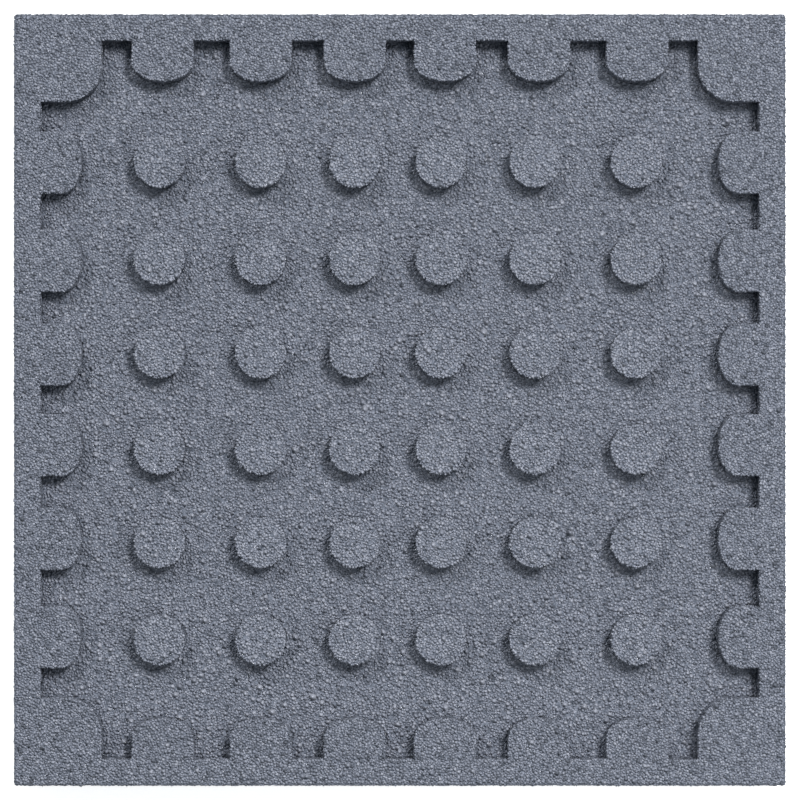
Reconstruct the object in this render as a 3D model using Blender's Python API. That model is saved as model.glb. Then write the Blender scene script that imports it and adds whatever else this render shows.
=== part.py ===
"""Rubber safety tile: one square moulded from bound rubber crumb.

The tile lies on its plain wear face with its studded back up. The back is a shallow
recess inside a narrow rim. Half-oval lugs grow inwards from the rim, a rounded pad
fills each corner, and a field of round studs stands on the recess floor. Rim, lugs,
pads and studs all end on one plane, the plane the tile rests on once it is laid.

Units are metres, +Z is up, and the origin is the middle of the wear face.
"""
import math

import bmesh
import bpy

# Driving dimensions of the moulding
TILE_SIDE = 0.500
TILE_THICKNESS = 0.045
RECESS_DEPTH = 0.015
CORNER_RADIUS = 0.0022
EDGE_CHAMFER = 0.001

# Rim round the recess, with a pad in each corner and lugs along each side
RIM_WIDTH = 0.0174
PAD_SIDE = 0.0570
PAD_RADIUS = 0.0234
LUG_WIDTH = 0.0404
LUG_REACH = 0.0439
LUG_TIP_LENGTH = 0.0129
LUG_OFFSETS = (0.0293, 0.0901, 0.15375)

# Field of studs: distances from its middle line, and where that middle lies
STUD_DIAMETER = 0.0328
STUD_OFFSETS_X = (0.0280, 0.0888, 0.1544)
STUD_OFFSETS_Y = (0.0312, 0.0917, 0.1547)
STUD_FIELD_MIDDLE = (-0.0014, -0.0008)

# Fineness of the round stretches, in straight steps
STUD_STEPS = 24
LUG_STEPS = 12
PAD_STEPS = 8
CORNER_STEPS = 4

# How far a cutter stands out of what it cuts, and what counts as one point, flat and sharp
CUT_CLEARANCE = 0.005
WELD_DISTANCE = 0.00001
FLAT_ANGLE = math.radians(0.5)
SHARP_ANGLE = math.radians(40.0)

RUBBER_COLOR = (0.162, 0.180, 0.216, 1.0)
RUBBER_ROUGHNESS = 0.9


def clear_scene():
    """Remove whatever the scene holds."""
    for obj in list(bpy.data.objects):
        bpy.data.objects.remove(obj, do_unlink=True)


def add_collection(name):
    """Add a collection to the scene."""
    collection = bpy.data.collections.new(name)
    bpy.context.scene.collection.children.link(collection)
    return collection


def make_rubber():
    """Return the grey bound-crumb rubber."""
    material = bpy.data.materials.new("bound_rubber_crumb")
    material.use_nodes = True
    shader = material.node_tree.nodes["Principled BSDF"]
    shader.inputs["Base Color"].default_value = RUBBER_COLOR
    shader.inputs["Roughness"].default_value = RUBBER_ROUGHNESS
    shader.inputs["Metallic"].default_value = 0.0
    material.diffuse_color = RUBBER_COLOR
    return material


def mirrored(offsets):
    """Return the offsets on both sides of a middle line, in rising order."""
    return [-offset for offset in reversed(offsets)] + list(offsets)


def arc(centre, radii, start_deg, end_deg, steps):
    """Return points along an elliptical arc, both ends included."""
    points = []
    for step in range(steps + 1):
        angle = math.radians(start_deg + (end_deg - start_deg) * step / steps)
        x = centre[0] + radii[0] * math.cos(angle)
        y = centre[1] + radii[1] * math.sin(angle)
        points.append((x, y))
    return points


def quarter_turn(points, turns):
    """Turn points clockwise about the tile's middle by quarter turns."""
    for _ in range(turns):
        points = [(y, -x) for x, y in points]
    return points


def lug_outline(middle):
    """Return the outline of one lug on the +Y side, rooted inside the rim."""
    half = TILE_SIDE / 2
    tip_centre = half - LUG_REACH + LUG_TIP_LENGTH
    root = half - RIM_WIDTH + CUT_CLEARANCE
    tip = arc((middle, tip_centre), (LUG_WIDTH / 2, LUG_TIP_LENGTH), 180, 360, LUG_STEPS)
    return tip + [(middle + LUG_WIDTH / 2, root), (middle - LUG_WIDTH / 2, root)]


def pad_outline():
    """Return the outline of the pad in the +X +Y corner, rooted inside the rim."""
    inner = TILE_SIDE / 2 - PAD_SIDE
    centre = inner + PAD_RADIUS
    root = TILE_SIDE / 2 - RIM_WIDTH + CUT_CLEARANCE
    bend = arc((centre, centre), (PAD_RADIUS, PAD_RADIUS), 180, 270, PAD_STEPS)
    return bend + [(root, inner), (root, root), (inner, root)]


def stud_outline(x, y):
    """Return the circle of one stud."""
    centre = (STUD_FIELD_MIDDLE[0] + x, STUD_FIELD_MIDDLE[1] + y)
    radii = (STUD_DIAMETER / 2, STUD_DIAMETER / 2)
    return arc(centre, radii, 0, 360, STUD_STEPS)[:-1]


def island_outlines():
    """Return the outline of everything that stands up in the recess."""
    outlines = []
    for turns in range(4):
        outlines.append(quarter_turn(pad_outline(), turns))
        for middle in mirrored(LUG_OFFSETS):
            outlines.append(quarter_turn(lug_outline(middle), turns))
    for x in mirrored(STUD_OFFSETS_X):
        for y in mirrored(STUD_OFFSETS_Y):
            outlines.append(stud_outline(x, y))
    return outlines


def extrude_outlines(name, outlines, bottom, top):
    """Return a closed mesh object: flat outlines, filled and extruded from bottom to top."""
    curve = bpy.data.curves.new(name + "_outline", "CURVE")
    curve.dimensions = "2D"
    curve.fill_mode = "BOTH"
    curve.extrude = (top - bottom) / 2
    for outline in outlines:
        spline = curve.splines.new("POLY")
        spline.points.add(len(outline) - 1)
        spline.use_cyclic_u = True
        for point, (x, y) in zip(spline.points, outline):
            point.co = (x, y, 0.0, 1.0)
    guide = bpy.data.objects.new(name + "_outline", curve)
    guide.location.z = (bottom + top) / 2
    bpy.context.scene.collection.objects.link(guide)
    bpy.context.view_layer.update()
    graph = bpy.context.evaluated_depsgraph_get()
    mesh = bpy.data.meshes.new_from_object(guide.evaluated_get(graph))
    solid = bpy.data.objects.new(name, mesh)
    solid.matrix_world = guide.matrix_world
    bpy.data.objects.remove(guide, do_unlink=True)
    edit = bmesh.new()
    edit.from_mesh(mesh)
    bmesh.ops.remove_doubles(edit, verts=edit.verts, dist=WELD_DISTANCE)
    bmesh.ops.recalc_face_normals(edit, faces=edit.faces)
    edit.to_mesh(mesh)
    edit.free()
    return solid


def box_mesh(name, side, bottom, top):
    """Return a mesh and its open edit: a square box from bottom to top."""
    mesh = bpy.data.meshes.new(name)
    edit = bmesh.new()
    bmesh.ops.create_cube(edit, size=1.0)
    bmesh.ops.scale(edit, vec=(side, side, top - bottom), verts=edit.verts)
    bmesh.ops.translate(edit, vec=(0.0, 0.0, (top + bottom) / 2), verts=edit.verts)
    return mesh, edit


def make_block():
    """Return the plain block, with its four upright edges rounded."""
    mesh, edit = box_mesh("safety_tile", TILE_SIDE, 0.0, TILE_THICKNESS)
    upright = [edge for edge in edit.edges if edge.verts[0].co.xy == edge.verts[1].co.xy]
    bmesh.ops.bevel(
        edit, geom=upright, offset=CORNER_RADIUS, segments=CORNER_STEPS, profile=0.5, affect="EDGES"
    )
    edit.to_mesh(mesh)
    edit.free()
    return bpy.data.objects.new("safety_tile", mesh)


def make_plug():
    """Return the square plug that fills the recess inside the rim, from its floor upwards."""
    floor = TILE_THICKNESS - RECESS_DEPTH
    mesh, edit = box_mesh("recess_plug", TILE_SIDE - 2 * RIM_WIDTH, floor, TILE_THICKNESS + CUT_CLEARANCE)
    edit.to_mesh(mesh)
    edit.free()
    return bpy.data.objects.new("recess_plug", mesh)


def cut(obj, cutter):
    """Take the cutter's shape out of the object, and keep the result as its mesh."""
    modifier = obj.modifiers.new("cut_" + cutter.name, "BOOLEAN")
    modifier.operation = "DIFFERENCE"
    modifier.solver = "EXACT"
    modifier.object = cutter
    bpy.context.view_layer.update()
    graph = bpy.context.evaluated_depsgraph_get()
    mesh = bpy.data.meshes.new_from_object(obj.evaluated_get(graph))
    obj.modifiers.remove(modifier)
    plain = obj.data
    obj.data = mesh
    bpy.data.meshes.remove(plain)
    mesh.name = obj.name


def bounds_flat_face(edge):
    """Say whether an edge lies in the top or bottom plane and turns from it into a wall."""
    heights = [vert.co.z for vert in edge.verts]
    on_top = all(abs(height - TILE_THICKNESS) < WELD_DISTANCE for height in heights)
    on_bottom = all(abs(height) < WELD_DISTANCE for height in heights)
    return (on_top or on_bottom) and edge.calc_face_angle(0.0) > SHARP_ANGLE


def chamfer_edges(obj):
    """Chamfer every edge of the wear face and of the studded side's top plane."""
    edit = bmesh.new()
    edit.from_mesh(obj.data)
    bmesh.ops.dissolve_limit(
        edit, angle_limit=FLAT_ANGLE, verts=edit.verts, edges=edit.edges, delimit={"NORMAL"}
    )
    edges = [edge for edge in edit.edges if bounds_flat_face(edge)]
    bmesh.ops.bevel(
        edit, geom=edges, offset=EDGE_CHAMFER, segments=1, profile=0.5, affect="EDGES", loop_slide=False
    )
    bmesh.ops.remove_doubles(edit, verts=edit.verts, dist=WELD_DISTANCE)
    edit.to_mesh(obj.data)
    edit.free()


def main():
    """Build the tile: a block, less a plug with the lugs, pads and studs taken out of it."""
    clear_scene()
    parts = add_collection("rubber_safety_tile")
    cutters = add_collection("rubber_safety_tile_cutters")

    tile = make_block()
    parts.objects.link(tile)

    plug = make_plug()
    floor = TILE_THICKNESS - RECESS_DEPTH
    above = TILE_THICKNESS + 2 * CUT_CLEARANCE
    islands = extrude_outlines("islands", island_outlines(), floor - CUT_CLEARANCE, above)
    for cutter in (plug, islands):
        cutters.objects.link(cutter)
        cutter.hide_render = True
        cutter.display_type = "WIRE"

    cut(plug, islands)
    cut(tile, plug)
    chamfer_edges(tile)
    tile.data.materials.clear()
    tile.data.materials.append(make_rubber())
    tile.data.shade_smooth()
    tile.data.set_sharp_from_angle(angle=SHARP_ANGLE)


main()
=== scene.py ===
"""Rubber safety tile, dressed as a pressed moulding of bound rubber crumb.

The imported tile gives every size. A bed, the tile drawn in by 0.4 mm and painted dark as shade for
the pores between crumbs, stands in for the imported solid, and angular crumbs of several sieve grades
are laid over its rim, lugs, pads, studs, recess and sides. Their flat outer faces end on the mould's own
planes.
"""

import logging
import math
from dataclasses import dataclass
from enum import Enum
from typing import Any, Callable

import bmesh
import bpy
import numpy as np
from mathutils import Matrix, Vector


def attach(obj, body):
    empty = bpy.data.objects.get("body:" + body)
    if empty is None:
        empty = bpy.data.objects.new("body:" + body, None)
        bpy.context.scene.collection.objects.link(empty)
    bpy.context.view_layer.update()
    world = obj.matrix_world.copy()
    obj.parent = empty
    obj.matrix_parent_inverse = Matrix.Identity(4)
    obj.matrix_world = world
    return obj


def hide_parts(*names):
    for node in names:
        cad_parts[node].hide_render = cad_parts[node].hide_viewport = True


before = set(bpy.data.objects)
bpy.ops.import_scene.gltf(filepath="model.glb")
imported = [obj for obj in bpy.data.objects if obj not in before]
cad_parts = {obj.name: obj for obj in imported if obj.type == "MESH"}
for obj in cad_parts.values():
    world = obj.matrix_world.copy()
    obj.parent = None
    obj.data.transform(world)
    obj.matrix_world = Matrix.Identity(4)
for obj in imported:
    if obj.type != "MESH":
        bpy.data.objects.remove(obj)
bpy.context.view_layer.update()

NODE = "safety_tile"
BODY = "root"
BAKE_MAP = "OFBake"
TONE = "crumb_tone"
MM = 0.001
TINY = 1e-6
MAP_FILL = 0.98
MAP_MARGIN = 0.01
ARC_STEP_DEGREES = 7.5

Array = np.ndarray
Room = Callable[[Array, Array], Array]
log = logging.getLogger("safety_tile")


def linear(hex_color: str) -> tuple[float, float, float, float]:
    """Turn an sRGB hex colour into linear RGBA.

    Args:
        hex_color: Six hex digits, with or without a leading hash.

    Returns:
        Red, green, blue and an alpha of one.
    """
    digits = hex_color.lstrip("#")
    channels = [int(digits[start:start + 2], 16) / 255 for start in (0, 2, 4)]
    red, green, blue = (c / 12.92 if c <= 0.04045 else ((c + 0.055) / 1.055) ** 2.4 for c in channels)
    return (red, green, blue, 1.0)


def add_node(
    tree: bpy.types.NodeTree, kind: str, settings: dict[str, Any] | None = None, **inputs: Any
) -> bpy.types.Node:
    """Add a shader node with its settings, values and links.

    Args:
        tree: The node tree that takes the node.
        kind: The node's type name.
        settings: Values for the node's own properties.
        **inputs: A value or an output socket for each input, by its name with underscores.

    Returns:
        The new node.
    """
    node = tree.nodes.new(kind)
    for name, value in (settings or {}).items():
        setattr(node, name, value)
    for name, value in inputs.items():
        socket = node.inputs[int(name[1:])] if name[1:].isdigit() else node.inputs[name.replace("_", " ")]
        if isinstance(value, bpy.types.NodeSocket):
            tree.links.new(value, socket)
        else:
            socket.default_value = value
    return node


def set_ramp(ramp: bpy.types.Node, stops: tuple[tuple[float, str], ...]) -> None:
    """Give a colour ramp its stops.

    Args:
        ramp: The colour ramp node.
        stops: A place from 0 to 1 and an sRGB hex colour for each stop.
    """
    elements = ramp.color_ramp.elements
    while len(elements) < len(stops):
        elements.new(0.5)
    for element, (place, color) in zip(elements, stops):
        element.position = place
        element.color = linear(color)


@dataclass(frozen=True)
class BoundCrumb:
    """Tyre-rubber crumb, ground to a few millimetres and coated in pigmented polyurethane.

    Pressed against a steel mould, each crumb gets a flat matt face, a shade lighter or darker
    than the next by how much binder it holds. The pigment is a blue-grey.
    """

    tones: tuple[tuple[float, str], ...] = (
        (0.0, "#606570"),
        (0.35, "#868b99"),
        (0.65, "#9297a5"),
        (1.0, "#a7abb8"),
    )
    grain_mm: float = 0.5
    grain_height_mm: float = 0.05
    grain_shade: tuple[float, float] = (0.88, 1.10)
    roughness: tuple[float, float] = (0.78, 0.95)
    binder_ior: float = 1.5

    def make(self) -> bpy.types.Material:
        """Make the crumb's material.

        Returns:
            The material, whose tone comes from each crumb's own attribute.
        """
        material = bpy.data.materials.new("bound_crumb_blue_grey")
        material.use_nodes = True
        tree = material.node_tree
        shader = tree.nodes["Principled BSDF"]
        tone = add_node(tree, "ShaderNodeAttribute", {"attribute_name": TONE})
        ramp = add_node(tree, "ShaderNodeValToRGB", Fac=tone.outputs["Fac"])
        set_ramp(ramp, self.tones)
        place = add_node(tree, "ShaderNodeTexCoord")
        # Cut rubber is grained at about half a millimetre, which shades each face a little
        grain = add_node(
            tree, "ShaderNodeTexNoise", Vector=place.outputs["Object"],
            Scale=1 / (self.grain_mm * MM), Detail=2.0, Roughness=0.6,
        )
        shade = add_node(
            tree, "ShaderNodeMapRange", Value=grain.outputs["Fac"],
            From_Min=0.3, From_Max=0.7, To_Min=self.grain_shade[0], To_Max=self.grain_shade[1],
        )
        tinted = add_node(
            tree, "ShaderNodeVectorMath", {"operation": "SCALE"},
            _0=ramp.outputs["Color"], Scale=shade.outputs["Result"],
        )
        tree.links.new(tinted.outputs["Vector"], shader.inputs["Base Color"])
        matt = add_node(
            tree, "ShaderNodeMapRange", Value=grain.outputs["Fac"],
            To_Min=self.roughness[0], To_Max=self.roughness[1],
        )
        tree.links.new(matt.outputs["Result"], shader.inputs["Roughness"])
        bump = add_node(
            tree, "ShaderNodeBump", Height=grain.outputs["Fac"],
            Distance=self.grain_height_mm * MM, Strength=1.0,
        )
        tree.links.new(bump.outputs["Normal"], shader.inputs["Normal"])
        shader.inputs["IOR"].default_value = self.binder_ior
        return material


@dataclass(frozen=True)
class PoreShadeBed:
    """The same rubber seen down in the pores between crumbs, with less binder on it; its dark colours are
    painted shade for the depth of the pores.
    """

    # Both colours are painted shade for the pores, darker than the crumb's own tone.
    deep: str = "#3b414c"
    shallow: str = "#707683"
    patch_mm: float = 1.8
    roughness: float = 0.95

    def make(self) -> bpy.types.Material:
        """Make the bed's material.

        Returns:
            The material, darker and lighter in patches of about a crumb's width.
        """
        material = bpy.data.materials.new("crumb_pore_bed_painted_shade")
        material.use_nodes = True
        tree = material.node_tree
        shader = tree.nodes["Principled BSDF"]
        place = add_node(tree, "ShaderNodeTexCoord")
        patches = add_node(
            tree, "ShaderNodeTexNoise", Vector=place.outputs["Object"],
            Scale=1 / (self.patch_mm * MM), Detail=2.0,
        )
        ramp = add_node(tree, "ShaderNodeValToRGB", Fac=patches.outputs["Fac"])
        set_ramp(ramp, ((0.35, self.deep), (0.65, self.shallow)))
        tree.links.new(ramp.outputs["Color"], shader.inputs["Base Color"])
        shader.inputs["Roughness"].default_value = self.roughness
        return material


@dataclass(frozen=True)
class PressedWearFace:
    """The walked-on face: the same crumb pressed flat and tight, its joints thin and dark."""

    crumb_mm: float = 2.2
    joint: str = "#3f444c"
    joint_edges: tuple[float, float] = (0.02, 0.12)
    joint_depth_mm: float = 0.3
    tones: tuple[tuple[float, str], ...] = ((0.0, "#5d626d"), (0.5, "#757b87"), (1.0, "#8f94a1"))
    roughness: float = 0.88

    def make(self) -> bpy.types.Material:
        """Make the wear face's material.

        Returns:
            The material, a pattern of flat crumbs with sunk joints.
        """
        material = bpy.data.materials.new("pressed_crumb_wear_face")
        material.use_nodes = True
        tree = material.node_tree
        shader = tree.nodes["Principled BSDF"]
        place = add_node(tree, "ShaderNodeTexCoord")
        scale = 1 / (self.crumb_mm * MM)
        cells = add_node(tree, "ShaderNodeTexVoronoi", Vector=place.outputs["Object"], Scale=scale)
        edges = add_node(
            tree, "ShaderNodeTexVoronoi", {"feature": "DISTANCE_TO_EDGE"},
            Vector=place.outputs["Object"], Scale=scale,
        )
        tone = add_node(tree, "ShaderNodeSeparateColor", Color=cells.outputs["Color"])
        ramp = add_node(tree, "ShaderNodeValToRGB", Fac=tone.outputs["Red"])
        set_ramp(ramp, self.tones)
        face = add_node(
            tree, "ShaderNodeMapRange", Value=edges.outputs["Distance"],
            From_Min=self.joint_edges[0], From_Max=self.joint_edges[1],
        )
        mixed = add_node(
            tree, "ShaderNodeMix", {"data_type": "RGBA"}, _0=face.outputs["Result"],
            _6=linear(self.joint), _7=ramp.outputs["Color"],
        )
        tree.links.new(mixed.outputs[2], shader.inputs["Base Color"])
        bump = add_node(
            tree, "ShaderNodeBump", Height=face.outputs["Result"],
            Distance=self.joint_depth_mm * MM, Strength=1.0,
        )
        tree.links.new(bump.outputs["Normal"], shader.inputs["Normal"])
        shader.inputs["Roughness"].default_value = self.roughness
        return material


@dataclass(frozen=True)
class Moulding:
    """Sizes of the moulded tile, in metres, and the outlines they give."""

    side: float = 0.500
    thickness: float = 0.045
    recess_depth: float = 0.015
    corner_radius: float = 0.0022
    chamfer: float = 0.001
    rim_width: float = 0.0174
    pad_side: float = 0.0570
    pad_radius: float = 0.0234
    lug_width: float = 0.0404
    lug_reach: float = 0.0439
    lug_tip: float = 0.0129
    lugs: tuple[float, ...] = (0.0293, 0.0901, 0.15375)
    stud_width: float = 0.0328
    stud_columns: tuple[float, ...] = (0.0280, 0.0888, 0.1544)
    stud_rows: tuple[float, ...] = (0.0312, 0.0917, 0.1547)
    stud_middle: tuple[float, float] = (-0.0014, -0.0008)

    @property
    def half(self) -> float:
        """Half the side."""
        return self.side / 2

    @property
    def floor(self) -> float:
        """Height of the recess floor."""
        return self.thickness - self.recess_depth

    def columns(self) -> Array:
        """Return the x of each stud column."""
        return self.stud_middle[0] + np.array([sign * x for sign in (-1, 1) for x in self.stud_columns])

    def rows(self) -> Array:
        """Return the y of each stud row."""
        return self.stud_middle[1] + np.array([sign * y for sign in (-1, 1) for y in self.stud_rows])

    def from_side(self, x: Array, y: Array) -> Array:
        """Say how far inside the tile's outer sides and their rounded corners each point lies.

        Args:
            x: Places along X.
            y: Places along Y.

        Returns:
            The distance to the outer side, for each point, negative in the air.
        """
        bend = self.half - self.corner_radius
        beyond_x = np.abs(x) - bend
        beyond_y = np.abs(y) - bend
        round_off = self.corner_radius - np.hypot(beyond_x, beyond_y)
        straight = self.corner_radius - np.maximum(beyond_x, beyond_y)
        return np.where(np.minimum(beyond_x, beyond_y) > 0, round_off, straight)

    def in_rim(self, x: Array, y: Array) -> Array:
        """Say how far inside the rim, a lug or a pad each point lies, negative in the recess.

        All four sides are alike and mirrored, so every point is folded onto half of one side.

        Args:
            x: Places along X.
            y: Places along Y.

        Returns:
            The distance to the recess wall, for each point.
        """
        along = np.minimum(np.abs(x), np.abs(y))
        deep = np.maximum(np.abs(x), np.abs(y))
        inside = deep - (self.half - self.rim_width)
        tip = self.half - self.lug_reach + self.lug_tip
        half_lug = self.lug_width / 2
        for middle in self.lugs:
            across = np.abs(along - middle)
            short = np.maximum(tip - deep, 0.0)
            reach = np.hypot(across / half_lug, short / self.lug_tip)
            slope = np.hypot(across / half_lug**2, short / self.lug_tip**2) / np.maximum(reach, TINY)
            oval = (1 - reach) / np.maximum(slope, TINY)
            inside = np.maximum(inside, np.where(deep >= tip, half_lug - across, oval))
        centre = self.half - self.pad_side + self.pad_radius
        round_off = np.hypot(np.maximum(centre - along, 0.0), np.maximum(centre - deep, 0.0))
        square = np.minimum(np.minimum(along, deep) - centre, 0.0)
        pad = self.pad_radius - np.where(round_off > 0, round_off, square)
        return np.maximum(inside, pad)

    def in_stud(self, x: Array, y: Array) -> Array:
        """Say how far inside the nearest stud each point lies.

        Args:
            x: Places along X.
            y: Places along Y.

        Returns:
            The distance to the stud's wall, for each point, negative outside it.
        """
        from_column = np.abs(x[:, None] - self.columns()).min(1)
        from_row = np.abs(y[:, None] - self.rows()).min(1)
        return self.stud_width / 2 - np.hypot(from_column, from_row)

    def recess_loop(self) -> Array:
        """Draw the recess wall's outline.

        Returns:
            Its points, clockwise, so that the recess is on the outline's right.
        """
        line = self.half - self.rim_width
        tip = self.half - self.lug_reach + self.lug_tip
        inner = self.half - self.pad_side
        centre = inner + self.pad_radius
        points = [(-inner, centre), (-inner, line)]
        middles = sorted([-lug for lug in self.lugs] + list(self.lugs))
        for middle in middles:
            points.append((middle - self.lug_width / 2, line))
            points += arc((middle, tip), (self.lug_width / 2, self.lug_tip), 180, 360)
            points.append((middle + self.lug_width / 2, line))
        points.append((inner, line))
        points += arc((centre, centre), (self.pad_radius, self.pad_radius), 180, 270)
        loop = []
        for _ in range(4):
            loop += points
            points = [(y, -x) for x, y in points]
        return np.array(loop)

    def stud_loops(self) -> list[Array]:
        """Draw the studs' outlines.

        Returns:
            One outline for each stud, anticlockwise, so that the recess is on its right.
        """
        radius = self.stud_width / 2
        return [
            np.array(arc((x, y), (radius, radius), 0, 360)[:-1]) for x in self.columns() for y in self.rows()
        ]

    def outer_loop(self) -> Array:
        """Draw the tile's outline.

        Returns:
            Its points, anticlockwise, so that the air is on the outline's right.
        """
        bend = self.half - self.corner_radius
        radii = (self.corner_radius, self.corner_radius)
        loop = []
        for turn, (x, y) in enumerate(((1, 1), (-1, 1), (-1, -1), (1, -1))):
            loop += arc((x * bend, y * bend), radii, 90 * turn, 90 * turn + 90)
        return np.array(loop)


def arc(
    centre: tuple[float, float], radii: tuple[float, float], start: float, end: float
) -> list[tuple[float, float]]:
    """Return points along an elliptical arc, both ends included.

    Args:
        centre: The ellipse's middle.
        radii: Its half widths along X and Y.
        start: First angle in degrees.
        end: Last angle in degrees.

    Returns:
        Points one arc step apart.
    """
    angles = np.radians(np.linspace(start, end, int(abs(end - start) / ARC_STEP_DEGREES) + 1))
    return [(centre[0] + radii[0] * math.cos(a), centre[1] + radii[1] * math.sin(a)) for a in angles]


def waves(rng: np.random.Generator, x: Array, y: Array, size: float) -> Array:
    """Return soft uneven waves over a plane, of about unit strength.

    Args:
        rng: The seeded source of randomness.
        x: Places along X.
        y: Places along Y.
        size: The middle wavelength.

    Returns:
        The height of the waves at each place.
    """
    height = np.zeros_like(x)
    count = 12
    shortest, longest = 0.65, 1.6
    for length in size * np.geomspace(shortest, longest, count):
        way, start = rng.uniform(0, 2 * math.pi, 2)
        height += np.sin(2 * math.pi / length * (x * math.cos(way) + y * math.sin(way)) + start)
    return height / math.sqrt(count / 2)


@dataclass(frozen=True)
class Grade:
    """One sieve grade of crumb: how wide it is and how it is thrown."""

    width: float
    share: float
    throws: int


COARSE_TO_FINE = (
    Grade(3.7 * MM, 0.03, 1),
    Grade(3.1 * MM, 0.13, 1),
    Grade(2.6 * MM, 0.24, 1),
    Grade(2.2 * MM, 0.8, 3),
    Grade(1.8 * MM, 1.0, 4),
    Grade(1.45 * MM, 1.0, 4),
    Grade(1.1 * MM, 0.8, 3),
)
RIM_GRADES = (
    Grade(3.1 * MM, 0.02, 1),
    Grade(2.6 * MM, 0.10, 1),
    Grade(2.2 * MM, 0.5, 3),
    Grade(1.8 * MM, 1.0, 4),
    Grade(1.45 * MM, 1.0, 4),
    Grade(1.1 * MM, 0.8, 3),
)
WALL_GRADES = COARSE_TO_FINE[:-1]


@dataclass
class Crumbs:
    """Crumbs laid on a flat sheet: where each one's middle lies and half its width."""

    x: Array
    y: Array
    radius: Array


@dataclass(frozen=True)
class Sieve:
    """Lays crumbs on a flat sheet, coarse ones first, none nearer than their widths allow."""

    grades: tuple[Grade, ...] = COARSE_TO_FINE
    closeness: float = 0.74
    spread: float = 0.18
    edge_room: float = 0.75

    def lay(self, rng: np.random.Generator, size: tuple[float, float], room: Room) -> Crumbs:
        """Lay the crumbs.

        Args:
            rng: The seeded source of randomness.
            size: Width and height of the sheet, which starts at zero.
            room: Gives the distance from a point to the nearest edge, negative outside.

        Returns:
            The crumbs that found a place.
        """
        smallest = min(grade.width for grade in self.grades) / 2 * (1 - self.spread)
        largest = max(grade.width for grade in self.grades) / 2 * (1 + self.spread)
        cell = self.closeness * smallest * 2 / math.sqrt(2)
        reach = math.ceil(self.closeness * largest * 2 / cell)
        shape = [int(length / cell) + 1 + 2 * reach for length in reversed(size)]
        owner = np.full(shape, -1, np.int32)
        x = np.empty(0)
        y = np.empty(0)
        radius = np.empty(0)
        for grade in self.grades:
            for _ in range(grade.throws):
                count = int(grade.share * size[0] * size[1] / grade.width**2)
                new_x = rng.uniform(0, size[0], count)
                new_y = rng.uniform(0, size[1], count)
                new_r = grade.width / 2 * rng.uniform(1 - self.spread, 1 + self.spread, count)
                fits = room(new_x, new_y) > self.edge_room * new_r
                new = Crumbs(new_x[fits], new_y[fits], new_r[fits])
                new = self.kept(new, self.clear(owner, cell, reach, new, Crumbs(x, y, radius), False))
                thrown = np.full(shape, -1, np.int32)
                self.enter(thrown, cell, reach, new, 0)
                new = self.kept(new, self.clear(thrown, cell, reach, new, new, True))
                self.enter(owner, cell, reach, new, len(x))
                x = np.concatenate([x, new.x])
                y = np.concatenate([y, new.y])
                radius = np.concatenate([radius, new.radius])
        return Crumbs(x, y, radius)

    @staticmethod
    def kept(crumbs: Crumbs, mask: Array) -> Crumbs:
        """Return the crumbs that the mask keeps."""
        return Crumbs(crumbs.x[mask], crumbs.y[mask], crumbs.radius[mask])

    @staticmethod
    def enter(grid: Array, cell: float, reach: int, crumbs: Crumbs, first: int) -> None:
        """Write each crumb's number into its cell of the grid, an earlier one over a later one.

        Args:
            grid: The number of the crumb in each cell, or -1.
            cell: Width of a cell.
            reach: How many spare cells the grid has on each side.
            crumbs: The crumbs to enter.
            first: The number of the first of them.
        """
        column = (crumbs.x / cell).astype(int) + reach
        row = (crumbs.y / cell).astype(int) + reach
        numbers = np.arange(first, first + len(column), dtype=np.int32)
        grid[row[::-1], column[::-1]] = numbers[::-1]

    def clear(
        self, grid: Array, cell: float, reach: int, new: Crumbs, there: Crumbs, same: bool
    ) -> Array:
        """Say which new crumbs are clear of those in the grid.

        Args:
            grid: The number of the crumb in each cell, or -1.
            cell: Width of a cell.
            reach: How many cells away a crumb may still be too near.
            new: The crumbs to try.
            there: The crumbs that the grid numbers.
            same: Whether both are one throw, in which the earlier of two crumbs wins.

        Returns:
            True for each new crumb that may stay.
        """
        column = (new.x / cell).astype(int) + reach
        row = (new.y / cell).astype(int) + reach
        numbers = np.arange(len(column))
        free = np.ones(len(column), bool)
        if same:
            free &= grid[row, column] == numbers
        for down in range(-reach, reach + 1):
            for right in range(-reach, reach + 1):
                other = grid[row + down, column + right]
                met = np.flatnonzero(other >= 0)
                near = other[met]
                gap = np.hypot(new.x[met] - there.x[near], new.y[met] - there.y[near])
                touching = gap < self.closeness * (new.radius[met] + there.radius[near])
                if same:
                    touching &= near < met
                free[met[touching]] = False
        return free


@dataclass
class Seats:
    """Where crumbs sit on the tile: their middles, the three ways they face, and their map places."""

    middle: Array
    along: Array
    across: Array
    out: Array
    radius: Array
    on_map: Array
    map_scale: float

    def only(self, chosen: Array) -> "Seats":
        """Return the seats that a mask chooses."""
        arrays = (self.middle, self.along, self.across, self.out, self.radius, self.on_map)
        return Seats(*(array[chosen] for array in arrays), self.map_scale)


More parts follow.
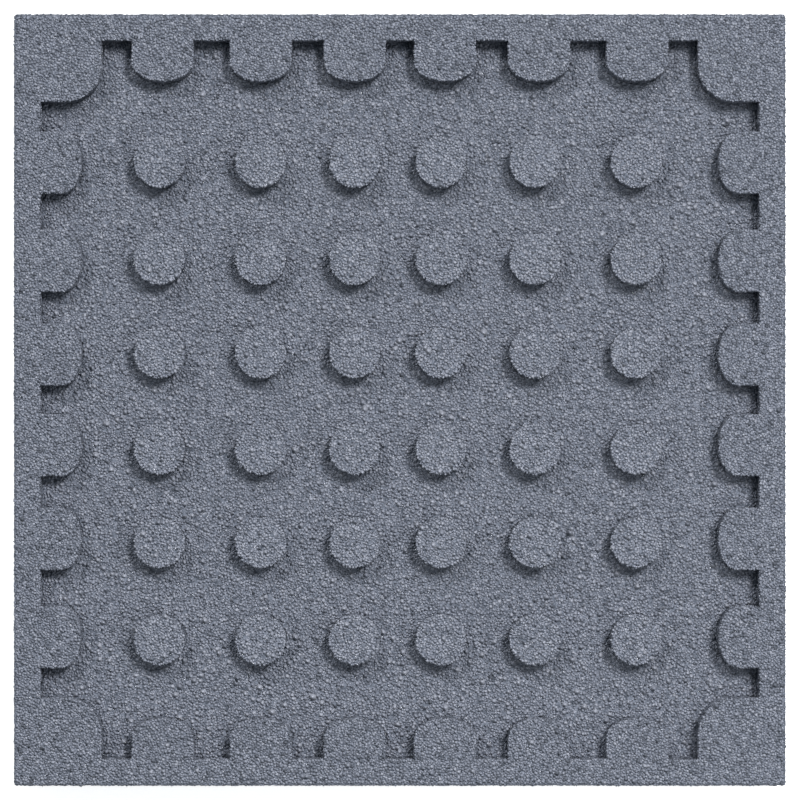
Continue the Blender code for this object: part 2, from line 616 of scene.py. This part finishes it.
@dataclass(frozen=True)
class ChunkShape:
    """An angular crumb: a flat outer face of a few corners, whose facets run down to one inner point."""

    corner_count: int
    outer_reach: tuple[float, float]
    sink: float
    tilt: float
    inner_reach: float = 0.25
    corner_swing: float = 0.30
    lift: float = 0.15 * MM
    depth: tuple[float, float] = (0.9 * MM, 1.2 * MM)

    def corners(self, rng: np.random.Generator, seats: Seats, body_radius: Array) -> tuple[Array, Array]:
        """Return each crumb's corners, the inner one last, in metres, and their places on the map.

        Args:
            rng: The seeded source of randomness.
            seats: Where the crumbs sit.
            body_radius: Half the width of each crumb.

        Returns:
            Corners as an array of crumbs by corners by three, and map places by two.
        """
        count = len(body_radius)
        around = self.corner_count
        step = 2 * math.pi / around
        turn = rng.uniform(0, 2 * math.pi, (count, 1))
        outer = turn + (np.arange(around) + rng.uniform(-1, 1, (count, around)) * self.corner_swing) * step
        inner = rng.uniform(0, 2 * math.pi, (count, 1))
        angle = np.concatenate([outer, inner], 1)
        reach = np.concatenate(
            [rng.uniform(*self.outer_reach, (count, around)), rng.uniform(0, self.inner_reach, (count, 1))], 1
        )
        distance = reach * body_radius[:, None]
        a = distance * np.cos(angle)
        b = distance * np.sin(angle)
        slope = rng.normal(0, self.tilt, (count, 2, 1))
        top = slope[:, 0] * a[:, :-1] + slope[:, 1] * b[:, :-1] - rng.uniform(0, self.sink, (count, 1))
        top = np.minimum(top, self.lift)
        foot = -rng.uniform(*self.depth, (count, 1))
        c = np.concatenate([top, foot], 1)
        corners = (
            seats.middle[:, None]
            + a[..., None] * seats.along[:, None]
            + b[..., None] * seats.across[:, None]
            + c[..., None] * seats.out[:, None]
        )
        corners[..., 2] = np.maximum(corners[..., 2], 0.0)
        on_map = seats.on_map[:, None] + np.stack([a, b], -1) * seats.map_scale
        return corners, on_map

    def faces(self) -> Array:
        """List one crumb's triangles.

        Returns:
            Corner numbers of the fan over the outer face, then of the facets.
        """
        around = self.corner_count
        fan = [(0, k, k + 1) for k in range(1, around - 1)]
        return np.array(fan + [((k + 1) % around, k, around) for k in range(around)])


def dress(piece: bpy.types.Object, *finishes: bpy.types.Material) -> None:
    """Give a piece its finishes and put it on the tile.

    Args:
        piece: The new piece.
        *finishes: Its materials, in slot order.
    """
    for finish in finishes:
        piece.data.materials.append(finish)
    bpy.context.scene.collection.objects.link(piece)
    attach(piece, BODY)
    log.info("%s: %d faces", piece.name, len(piece.data.polygons))


@dataclass(frozen=True)
class CrumbCoat:
    """Turns seats into one joined mesh of crumbs."""

    sink: float = 0.34 * MM
    tilt: float = 0.14
    coarse_from: float = 1.30 * MM
    fine_below: float = 0.64 * MM
    coarse_lift: float = 0.12
    fine_drop: float = 0.10
    tone_spread: float = 0.20
    mottle: float = 0.08
    mottle_size: float = 7.0 * MM
    middle_radius: float = 1.1 * MM

    def build(
        self,
        rng: np.random.Generator,
        name: str,
        seats: Seats,
        finish: bpy.types.Material,
        mean_tone: float = 0.5,
    ) -> bpy.types.Object:
        """Build a crumb piece.

        Args:
            rng: The seeded source of randomness.
            name: The piece's name.
            seats: Where its crumbs sit.
            finish: The crumb's material.
            mean_tone: Where its crumbs lie between the darkest and the lightest, on average.

        Returns:
            The piece, dressed and riding on the tile.
        """
        points = []
        places = []
        faces = []
        tones = []
        first = 0
        mottle = waves(rng, seats.middle[:, 0], seats.middle[:, 1] + seats.middle[:, 2], self.mottle_size)
        for shape, chosen in self.sorted_out(seats.radius):
            part = seats.only(chosen)
            count = len(part.radius)
            corners, on_map = shape.corners(rng, part, part.radius)
            per_crumb = corners.shape[1]
            faces.append((first + np.arange(count)[:, None, None] * per_crumb + shape.faces()).ravel())
            points.append(corners.reshape(-1, 3))
            places.append(on_map.reshape(-1, 2))
            wider = (part.radius - self.middle_radius) / MM
            lift = np.where(wider > 0, self.coarse_lift, self.fine_drop) * wider
            lift += self.mottle * mottle[chosen]
            tone = np.clip(rng.normal(mean_tone, self.tone_spread, count) + lift, 0, 1)
            tones.append(np.repeat(tone, per_crumb))
            first += count * per_crumb
        faces = np.concatenate(faces)
        mesh = bpy.data.meshes.new(name)
        mesh.vertices.add(first)
        mesh.vertices.foreach_set("co", np.concatenate(points).astype(np.float32).ravel())
        mesh.loops.add(len(faces))
        mesh.loops.foreach_set("vertex_index", faces.astype(np.int32))
        mesh.polygons.add(len(faces) // 3)
        mesh.polygons.foreach_set("loop_start", np.arange(0, len(faces), 3, dtype=np.int32))
        mesh.update(calc_edges=True)
        layer = mesh.uv_layers.new(name=BAKE_MAP)
        layer.data.foreach_set("uv", np.concatenate(places)[faces].astype(np.float32).ravel())
        shade = mesh.attributes.new(TONE, "FLOAT", "POINT")
        shade.data.foreach_set("value", np.concatenate(tones).astype(np.float32))
        piece = bpy.data.objects.new(name, mesh)
        dress(piece, finish)
        return piece

    def sorted_out(self, radius: Array) -> list[tuple[ChunkShape, Array]]:
        """Sort crumbs by width into shapes of five, four and three outer corners.

        Args:
            radius: Half the width of each crumb.

        Returns:
            Each shape with the mask of the crumbs that take it.
        """
        coarse = radius >= self.coarse_from
        fine = radius < self.fine_below
        return [
            (ChunkShape(5, outer_reach=(0.95, 1.55), sink=self.sink, tilt=self.tilt), coarse),
            (ChunkShape(4, outer_reach=(1.0, 1.65), sink=self.sink, tilt=self.tilt), ~coarse & ~fine),
            (ChunkShape(3, outer_reach=(1.2, 1.9), sink=self.sink, tilt=self.tilt), fine),
        ]


@dataclass(frozen=True)
class LevelSheet:
    """A level face of the tile: the plane of the studs and rim, or the recess floor."""

    side: float
    height: float

    def lay(self, rng: np.random.Generator, sieve: Sieve, room: Room) -> Seats:
        """Lay crumbs on this face.

        Args:
            rng: The seeded source of randomness.
            sieve: The crumbs' grades and closeness.
            room: Gives the distance from a place on the tile to the nearest edge, negative outside.

        Returns:
            The seats of the crumbs that found a place.
        """
        half = self.side / 2
        crumbs = sieve.lay(rng, (self.side, self.side), lambda x, y: room(x - half, y - half))
        count = len(crumbs.x)
        middle = np.stack([crumbs.x - half, crumbs.y - half, np.full(count, self.height)], 1)
        scale = MAP_FILL / self.side
        return Seats(
            middle=middle,
            along=np.tile((1.0, 0.0, 0.0), (count, 1)),
            across=np.tile((0.0, 1.0, 0.0), (count, 1)),
            out=np.tile((0.0, 0.0, 1.0), (count, 1)),
            radius=crumbs.radius,
            on_map=0.5 + middle[:, :2] * scale,
            map_scale=scale,
        )


class Ends(Enum):
    """Which edges of a wall are chamfered."""

    TOP = "top"
    BOTH = "both"


@dataclass(frozen=True)
class WallStrip:
    """Upright walls, unrolled into one strip: its length runs along the outlines, its width up."""

    loops: tuple[Array, ...]
    low: float
    high: float
    chamfer: float
    ends: Ends
    fold_overlap: float = 0.15 * MM
    map_gap: float = 2.5 * MM

    @property
    def bevel(self) -> float:
        """Width of the chamfer, measured on its slope."""
        return self.chamfer * math.sqrt(2)

    @property
    def upright(self) -> float:
        """Height of the wall between its chamfers."""
        cuts = 2 if self.ends is Ends.BOTH else 1
        return self.high - self.low - cuts * self.chamfer

    @property
    def start(self) -> float:
        """Strip width used by the lower chamfer."""
        return self.bevel if self.ends is Ends.BOTH else 0.0

    @property
    def width(self) -> float:
        """Whole width of the unrolled strip."""
        return self.start + self.upright + self.bevel

    def runs(self) -> tuple[Array, Array, Array]:
        """List every straight run of the outlines.

        Returns:
            Where each run starts, the way it goes and how long it is.
        """
        starts = np.concatenate(self.loops)
        ways = np.concatenate([np.roll(loop, -1, 0) - loop for loop in self.loops])
        lengths = np.linalg.norm(ways, axis=1)
        real = lengths > TINY
        return starts[real], ways[real] / lengths[real, None], lengths[real]

    def room(self, x: Array, y: Array) -> Array:
        """Say how far each point lies from the strip's edges and from the folds of its chamfers."""
        folds = [0.0, self.start, self.start + self.upright, self.width]
        return np.min([np.abs(y - fold) for fold in folds], axis=0) + self.fold_overlap

    def seats(self, crumbs: Crumbs) -> Seats:
        """Return the seats of crumbs laid on the strip.

        Args:
            crumbs: The crumbs, placed along and up the unrolled strip.

        Returns:
            Their seats on the standing walls.
        """
        starts, ways, lengths = self.runs()
        ends = np.cumsum(lengths)
        run = np.minimum(np.searchsorted(ends, crumbs.x), len(ends) - 1)
        gone = crumbs.x - (ends[run] - lengths[run])
        at = starts[run] + ways[run] * gone[:, None]
        count = len(run)
        level = np.zeros((count, 3))
        level[:, 0] = ways[run, 1]
        level[:, 1] = -ways[run, 0]
        along = np.zeros((count, 3))
        along[:, :2] = ways[run]
        up = crumbs.y - self.start
        over = np.maximum(up - self.upright, 0.0) / math.sqrt(2)
        under = np.maximum(-up, 0.0) / math.sqrt(2)
        foot = self.low + (self.chamfer if self.ends is Ends.BOTH else 0.0)
        middle = np.zeros((count, 3))
        middle[:, :2] = at
        middle[:, 2] = foot + np.clip(up, 0.0, self.upright) + over - under
        middle -= level * (over + under)[:, None]
        lean = np.where(over > 0, 1.0, np.where(under > 0, -1.0, 0.0)) * math.pi / 4
        rise = np.array((0.0, 0.0, 1.0))
        out = level * np.cos(lean)[:, None] + rise * np.sin(lean)[:, None]
        across = rise * np.cos(lean)[:, None] - level * np.sin(lean)[:, None]
        return Seats(middle, along, across, out, crumbs.radius, *self.on_map(crumbs))

    def on_map(self, crumbs: Crumbs) -> tuple[Array, float]:
        """Place crumbs on the bake map, whose rows are stretches of the strip.

        Args:
            crumbs: The crumbs, placed along and up the unrolled strip.

        Returns:
            Each crumb's place on the map, and the map's scale.
        """
        length = self.runs()[2].sum()
        pitch = self.width + 2 * self.map_gap
        rows = max(1, round(math.sqrt(length / pitch)))
        stretch = length / rows
        scale = MAP_FILL / max(stretch + 2 * self.map_gap, rows * pitch)
        row = np.minimum((crumbs.x / stretch).astype(int), rows - 1)
        u = MAP_MARGIN + (crumbs.x - row * stretch + self.map_gap) * scale
        v = MAP_MARGIN + (row * pitch + self.map_gap + crumbs.y) * scale
        return np.stack([u, v], 1), scale


@dataclass(frozen=True)
class CrumbBed:
    """The tile's own body under the crumbs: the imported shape, drawn in on all sides but below."""

    sink: float = 0.40 * MM
    weld: float = 0.01 * MM
    facing_down: float = -0.99
    same_way: float = 1e-3

    def build(self, bed: bpy.types.Material, wear: bpy.types.Material) -> bpy.types.Object:
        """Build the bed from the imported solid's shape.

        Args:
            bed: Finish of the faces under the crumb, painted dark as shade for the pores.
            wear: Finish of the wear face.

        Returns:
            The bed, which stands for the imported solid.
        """
        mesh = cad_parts[NODE].data.copy()
        mesh.name = "crumb_bed"
        mesh.materials.clear()
        edit = bmesh.new()
        edit.from_mesh(mesh)
        bmesh.ops.remove_doubles(edit, verts=edit.verts, dist=self.weld)
        edit.normal_update()
        moves = [self.move(vert) for vert in edit.verts]
        for vert, move in zip(edit.verts, moves):
            vert.co += move
        edit.normal_update()
        for face in edit.faces:
            face.smooth = False
            below = face.normal.z < self.facing_down and face.calc_center_median().z < MM
            face.material_index = 1 if below else 0
        edit.to_mesh(mesh)
        edit.free()
        piece = bpy.data.objects.new("crumb_bed", mesh)
        dress(piece, bed, wear)
        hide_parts(NODE)
        return piece

    def move(self, vert: bmesh.types.BMVert) -> Vector:
        """Work out the move that draws in every face round a corner, but not the wear face.

        Args:
            vert: The corner.

        Returns:
            The least move that sinks each of those faces by the sink.
        """
        normals = np.array([tuple(face.normal) for face in vert.link_faces])
        wear_face = (normals[:, 2] < self.facing_down) & (vert.co.z < MM)
        drop = np.where(wear_face, 0.0, -self.sink)
        return Vector(np.linalg.lstsq(normals, drop, rcond=self.same_way)[0])


@dataclass(frozen=True)
class CrumbedTile:
    """The whole moulding: its bed and the crumb on every face that shows."""

    sizes: Moulding = Moulding()
    sieve: Sieve = Sieve()
    rim_sieve: Sieve = Sieve(RIM_GRADES)
    wall_sieve: Sieve = Sieve(WALL_GRADES, closeness=0.82)
    coat: CrumbCoat = CrumbCoat()
    floor_coat: CrumbCoat = CrumbCoat(
        sink=0.46 * MM, tilt=0.11, coarse_lift=0.40, tone_spread=0.18, mottle=0.13
    )
    rim_coat: CrumbCoat = CrumbCoat(sink=0.28 * MM, tilt=0.18, tone_spread=0.24)
    stud_coat: CrumbCoat = CrumbCoat(sink=0.44 * MM, tilt=0.16)
    # The sides' crumbs are kept dark and even in tone as painted shade, so the tile's outer edges and
    # chamfers read dark.
    side_coat: CrumbCoat = CrumbCoat(
        sink=0.44 * MM, tilt=0.16, coarse_lift=0.06, fine_drop=0.05, tone_spread=0.10, mottle=0.04
    )
    coarse_from: float = 0.95 * MM
    rim_tone: float = 0.50
    floor_tone: float = 0.54
    stud_tone: float = 0.72
    # The walls' crumbs take a dark tone as painted shade: less light bounces off them into the recess, so the
    # shade at their feet falls darker.
    wall_shade_tone: float = 0.2
    # The outer sides' dark tone is painted shade on the edges and chamfers.
    side_shade_tone: float = 0.10
    stud_overhang: float = 0.30 * MM
    floor_overlap: float = 0.20 * MM
    side_room: float = 1.20 * MM
    stray: float = 0.12 * MM
    stray_size: float = 3.5 * MM
    seed: int = 4501

    def build(self) -> None:
        """Build the bed and every crumb piece."""
        crumb = BoundCrumb().make()
        # The bed's dark pore colour is painted shade.
        CrumbBed().build(PoreShadeBed().make(), PressedWearFace().make())
        self.build_level(crumb)
        self.build_walls(crumb)

    def build_level(self, crumb: bpy.types.Material) -> None:
        """Lay the crumb of the top plane and the recess floor.

        Args:
            crumb: The crumb's material.
        """
        size = self.sizes

        def in_rim(x: Array, y: Array) -> Array:
            """Say how far inside the rim's top a point lies, by its ragged edge."""
            from_side = size.from_side(x, y) - self.side_room
            return np.minimum(size.in_rim(x, y), from_side) + self.ragged(x, y)

        def in_stud(x: Array, y: Array) -> Array:
            """Say how far inside a stud's top a point lies, by its ragged edge."""
            return size.in_stud(x, y) + self.stud_overhang + self.ragged(x, y)

        def on_floor(x: Array, y: Array) -> Array:
            """Say how far inside the recess floor a point lies."""
            return -np.maximum(size.in_rim(x, y), size.in_stud(x, y)) + self.floor_overlap

        rng = np.random.default_rng(self.seed)
        top = LevelSheet(size.side, size.thickness)
        rim = top.lay(rng, self.rim_sieve, in_rim)
        self.rim_coat.build(rng, "rim_crumb", rim, crumb, self.rim_tone)
        studs = top.lay(rng, self.sieve, in_stud)
        self.stud_coat.build(rng, "stud_crumb", studs, crumb, self.stud_tone)
        floor = LevelSheet(size.side, size.floor).lay(rng, self.sieve, on_floor)
        coarse = floor.radius >= self.coarse_from
        self.floor_coat.build(rng, "recess_crumb_coarse", floor.only(coarse), crumb, self.floor_tone)
        self.floor_coat.build(rng, "recess_crumb_fine", floor.only(~coarse), crumb, self.floor_tone)

    def ragged(self, x: Array, y: Array) -> Array:
        """Return how far the moulding's edges stray from their drawn lines at each point."""
        rng = np.random.default_rng(self.seed)
        return self.stray * waves(rng, x, y, self.stray_size)

    def build_walls(self, crumb: bpy.types.Material) -> None:
        """Lay the crumb of the recess wall, the studs' walls and the outer sides.

        Args:
            crumb: The crumb's material.
        """
        size = self.sizes
        strips = {
            # Wall crumb takes a dark tone as painted shade, deepening the shade at the walls' feet.
            "recess_wall_crumb": ((size.recess_loop(),), size.floor, Ends.TOP, self.coat, self.wall_shade_tone),
            "stud_wall_crumb": (tuple(size.stud_loops()), size.floor, Ends.TOP, self.coat, self.wall_shade_tone),
            # Side crumb takes a dark tone as painted shade, darkening the tile's outer edges.
            "side_crumb": ((size.outer_loop(),), 0.0, Ends.BOTH, self.side_coat, self.side_shade_tone),
        }
        for step, (name, (loops, low, ends, coat, tone)) in enumerate(strips.items()):
            rng = np.random.default_rng(self.seed + 1 + step)
            strip = WallStrip(loops, low, size.thickness, size.chamfer, ends)
            crumbs = self.wall_sieve.lay(rng, (strip.runs()[2].sum(), strip.width), strip.room)
            coat.build(rng, name, strip.seats(crumbs), crumb, tone)


@dataclass(frozen=True)
class SoftLamp:
    """A soft lamp aimed at the tile, its size given across and up."""

    name: str
    azimuth: float
    elevation: float
    distance: float
    size: tuple[float, float]
    watts: float

    def build(self) -> None:
        """Hang the lamp."""
        lamp = bpy.data.lights.new(self.name, "AREA")
        lamp.shape = "RECTANGLE"
        lamp.size, lamp.size_y = self.size
        lamp.energy = self.watts
        level = math.cos(math.radians(self.elevation))
        way = Vector((
            level * math.cos(math.radians(self.azimuth)),
            level * math.sin(math.radians(self.azimuth)),
            math.sin(math.radians(self.elevation)),
        ))
        hung = bpy.data.objects.new(self.name, lamp)
        hung.location = way * self.distance
        hung.rotation_euler = way.to_track_quat("Z", "Y").to_euler()
        bpy.context.scene.collection.objects.link(hung)


@dataclass(frozen=True)
class Studio:
    """Pale light table, soft lamps and the camera, straight above the tile."""

    lamps: tuple[SoftLamp, ...] = (
        SoftLamp("key_lamp", 49, 62, 8.0, (1.8, 1.8), 592),
        SoftLamp("fill_lamp", 117, 50, 8.0, (2.6, 1.2), 228),
        SoftLamp("left_lamp", 172, 50, 8.0, (4.8, 4.8), 80),
        SoftLamp("near_lamp", 330, 55, 1.2, (0.6, 0.6), 3.0),
    )
    sky: str = "#cdf0ff"
    sky_strength: float = 0.096
    table_width: float = 12.0
    table_color: str = "#f4f4f4"
    table_glow: float = 0.75
    table_roughness: float = 0.9
    camera_height: float = 2.7
    camera_offset: tuple[float, float] = (0.00017, -0.00002)
    view_angle: float = 11.142

    def build(self) -> None:
        """Set up the table, the lamps, the sky and the camera."""
        self.lay_table()
        for lamp in self.lamps:
            lamp.build()
        world = bpy.data.worlds.new("studio_sky")
        world.use_nodes = True
        sky = world.node_tree.nodes["Background"]
        sky.inputs["Color"].default_value = linear(self.sky)
        sky.inputs["Strength"].default_value = self.sky_strength
        bpy.context.scene.world = world
        self.set_camera()
        view = bpy.context.scene.view_settings
        view.view_transform = "Standard"
        view.look = "None"

    def lay_table(self) -> None:
        """Lay the pale table that the tile stands on."""
        half = self.table_width / 2
        mesh = bpy.data.meshes.new("light_table")
        corners = [(-half, -half, 0), (half, -half, 0), (half, half, 0), (-half, half, 0)]
        mesh.from_pydata(corners, [], [(0, 1, 2, 3)])
        material = bpy.data.materials.new("opal_table_top")
        material.use_nodes = True
        shader = material.node_tree.nodes["Principled BSDF"]
        shader.inputs["Base Color"].default_value = linear(self.table_color)
        shader.inputs["Roughness"].default_value = self.table_roughness
        shader.inputs["Emission Color"].default_value = (1.0, 1.0, 1.0, 1.0)
        shader.inputs["Emission Strength"].default_value = self.table_glow
        mesh.materials.append(material)
        table = bpy.data.objects.new("light_table", mesh)
        bpy.context.scene.collection.objects.link(table)

    def set_camera(self) -> None:
        """Put the camera above the tile, looking straight down."""
        camera = bpy.data.cameras.new("camera")
        camera.angle = math.radians(self.view_angle)
        stand = bpy.data.objects.new("camera", camera)
        stand.location = (*self.camera_offset, self.camera_height)
        bpy.context.scene.collection.objects.link(stand)
        bpy.context.scene.camera = stand


def main() -> None:
    """Build the tile and its studio."""
    logging.basicConfig(level=logging.INFO, format="%(message)s")
    CrumbedTile().build()
    Studio().build()


if __name__ == "__main__":
    main()
